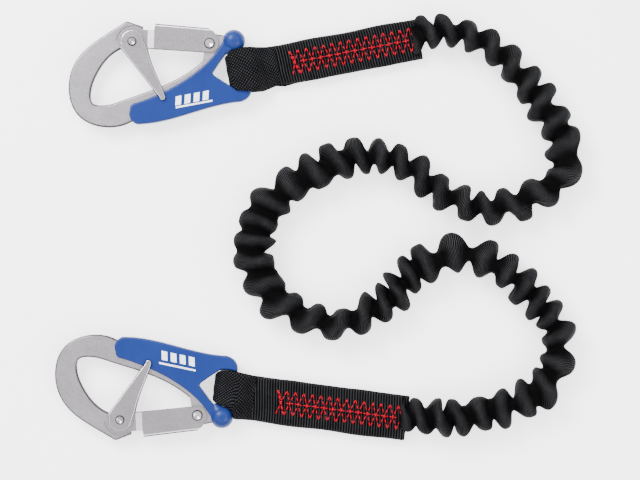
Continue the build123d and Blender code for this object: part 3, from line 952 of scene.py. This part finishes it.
# ---- mark on the cover --------------------------------------------------------------------------
MARK_LENGTH = 0.0222
MARK_LINE = 0.0010          # width of the mark's line
BARS = 4
BAR_HEIGHT = 0.0052
BAR_SHARE = 0.62            # a bar's width as a share of the distance from bar to bar
BAR_GAP = 0.0017            # from the line's lower edge to the bars
INK_PROUD = 0.00006         # how far the print stands out of the cover
INK_SUNK = 0.0001           # and how far it goes in


def slanted_bar(x, y, width, height):
    """The corners of a bar that leans a quarter of its height."""
    lean = 0.25 * height
    return [(x, y), (x + width, y), (x + width + lean, y + height), (x + lean, y + height)]


def make_mark(letter, end):
    """A plain printed mark: a row of slanted bars along a thin line."""
    pitch = MARK_LENGTH / BARS
    low = BAR_GAP if end["mark"]["bars_side"] > 0 else -BAR_GAP - BAR_HEIGHT
    bars = [slanted_bar(k * pitch, low, BAR_SHARE * pitch, BAR_HEIGHT) for k in range(BARS)]
    bars.append(slanted_bar(0, 0, MARK_LENGTH, MARK_LINE))
    verts, faces = [], []
    for bar in bars:
        corners = [(x, y, COVER_HALF + INK_PROUD) for x, y in bar]
        corners += [(x, y, COVER_HALF - INK_SUNK) for x, y in bar]
        sides = [(k, k + 4, (k + 1) % 4 + 4, (k + 1) % 4) for k in range(4)]
        add_to(verts, faces, (corners, [(0, 1, 2, 3), (7, 6, 5, 4)] + sides))
    flip = Matrix.Diagonal((1, 1, -1, 1)) if end["flipped"] else Matrix.Identity(4)
    place = Matrix.Translation((*end["mark"]["start"], 0)) @ turned(end["mark"]["lean"], "Z")
    world = hook_matrix(end) @ flip @ place
    piece = add_object(f"printed_mark_{letter}", [world @ Vector(v) for v in verts], faces)
    for polygon in piece.data.polygons:
        polygon.use_smooth = False
    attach(piece, f"hook_{letter}")
    return piece


# ---- stage --------------------------------------------------------------------------------------
def make_floor():
    """Plain pale paper, slightly luminous so that it stays near white."""
    s = Shader("floor")
    mottle = s.noise(s.place(), 6, 2)
    s.finish(s.ramp(mottle, [(0.3, (0.90, 0.90, 0.90)), (0.7, (0.93, 0.93, 0.93))]),
             s.level(mottle, 0.85, 0.95), Emission_Color=(1, 1, 1, 1), Emission_Strength=1.5)
    size = 3.0
    floor = add_object("floor", [(-size, -size, 0), (size, -size, 0), (size, size, 0),
                                 (-size, size, 0)], [(0, 1, 2, 3)])
    floor.data.materials.append(s.material)


def area_light(name, place, aim, size, power):
    """A rectangular soft box that faces its aim."""
    data = bpy.data.lights.new(name, "AREA")
    data.shape = "RECTANGLE"
    data.size, data.size_y = size
    data.energy = power
    light = bpy.data.objects.new(name, data)
    light.location = place
    light.rotation_euler = (Vector(aim) - Vector(place)).to_track_quat("-Z", "Y").to_euler()
    bpy.context.scene.collection.objects.link(light)


def make_lights():
    """A studio dome, dimmer straight overhead, bright round it and dark at the horizon, so that flat
    steel shows grey; and two soft boxes."""
    world = bpy.data.worlds.new("studio")
    bpy.context.scene.world = world
    world.use_nodes = True
    nodes, links = world.node_tree.nodes, world.node_tree.links
    place = nodes.new("ShaderNodeTexCoord")
    split = nodes.new("ShaderNodeSeparateXYZ")
    ramp = nodes.new("ShaderNodeValToRGB")
    links.new(place.outputs["Generated"], split.inputs[0])
    links.new(split.outputs["Z"], ramp.inputs[0])
    links.new(ramp.outputs[0], nodes["Background"].inputs["Color"])
    stops = ramp.color_ramp.elements
    levels = [(0.02, 0.03), (0.28, 0.12), (0.50, 1.0), (0.80, 1.0), (0.96, 0.30)]
    coolness = 1.02
    while len(stops) < len(levels):
        stops.new(0.5)
    for stop, (height, level) in zip(stops, levels):
        stop.position = height
        stop.color = (level, level, level * coolness, 1)
    nodes["Background"].inputs["Strength"].default_value = 3.4
    area_light("key", (-0.8, 1.0, 1.1), (0.05, 0, 0), (1.0, 0.8), 62)
    area_light("fill", (1.1, -0.7, 1.0), (0.05, 0, 0), (0.9, 0.9), 16)


# ---- dressing the CAD nodes ---------------------------------------------------------------------
def dress(node, material):
    """Gives the object that one material."""
    node.data.materials.clear()
    node.data.materials.append(material)


def dress_hooks():
    """The hooks keep their CAD shapes; each kind of part gets its own finish."""
    finishes = {
        # Each steel's last number is the painted highlight on its rims, as a share of its flat faces'
        # colour: above 1 for the gate and lever, below 1 for the hook body.
        "hook_body": satin_steel("hook_steel", (0.50, 0.47, 0.50), (0.36, 0.335, 0.36), 0.32, 0.35),
        "gate": satin_steel("gate_steel", (0.54, 0.505, 0.54), (0.44, 0.41, 0.44), 0.25, 1.8),
        "rivet": satin_steel("rivet_steel", (0.50, 0.49, 0.51), (0.42, 0.41, 0.43), 0.16, 0.6),
        "spring": spring_steel(),
        "grip_cover": blue_plastic(),
    }
    kinds = {"hook_body": "hook_body", "grip_cover": "grip_cover", "gate": "gate", "lever": "gate",
             "gate_rivet": "rivet", "lever_rivet": "rivet", "lever_bush": "rivet",
             "spring_pin": "rivet", "gate_spring": "spring", "lever_spring": "spring"}
    for letter in ENDS:
        for name, kind in kinds.items():
            dress(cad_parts[f"{name}_{letter}"], finishes[kind])


# ---- making -------------------------------------------------------------------------------------
make_camera()
sleeve, sleeve_line = make_sleeve()
core = make_core(sleeve_line)
# The tube's colour follows its relief, so it carries painted shade in the gaps between the pleats.
gathered = webbing_black("tube_webbing", (0.0004, 0.0004, 0.0005), (0.075, 0.075, 0.082), ribs_with_painted_pleat_shade)
ribbed = webbing_black("sewn_webbing", (0.0008, 0.0008, 0.0010), (0.034, 0.034, 0.037), sewn_relief)
twill = webbing_black("loop_webbing", (0.0006, 0.0006, 0.0008), (0.034, 0.034, 0.038), twill_relief)
dress(sleeve, gathered)
dress(core, latex())
thread = red_thread()
ink = white_print()
for letter, end in ENDS.items():
    dress(make_loop_strap(letter, end), twill)
    dress(make_sewn_end(letter, end), ribbed)
    dress(make_stitching(letter, end), thread)
    dress(make_mark(letter, end), ink)
dress_hooks()
make_floor()
make_lights()
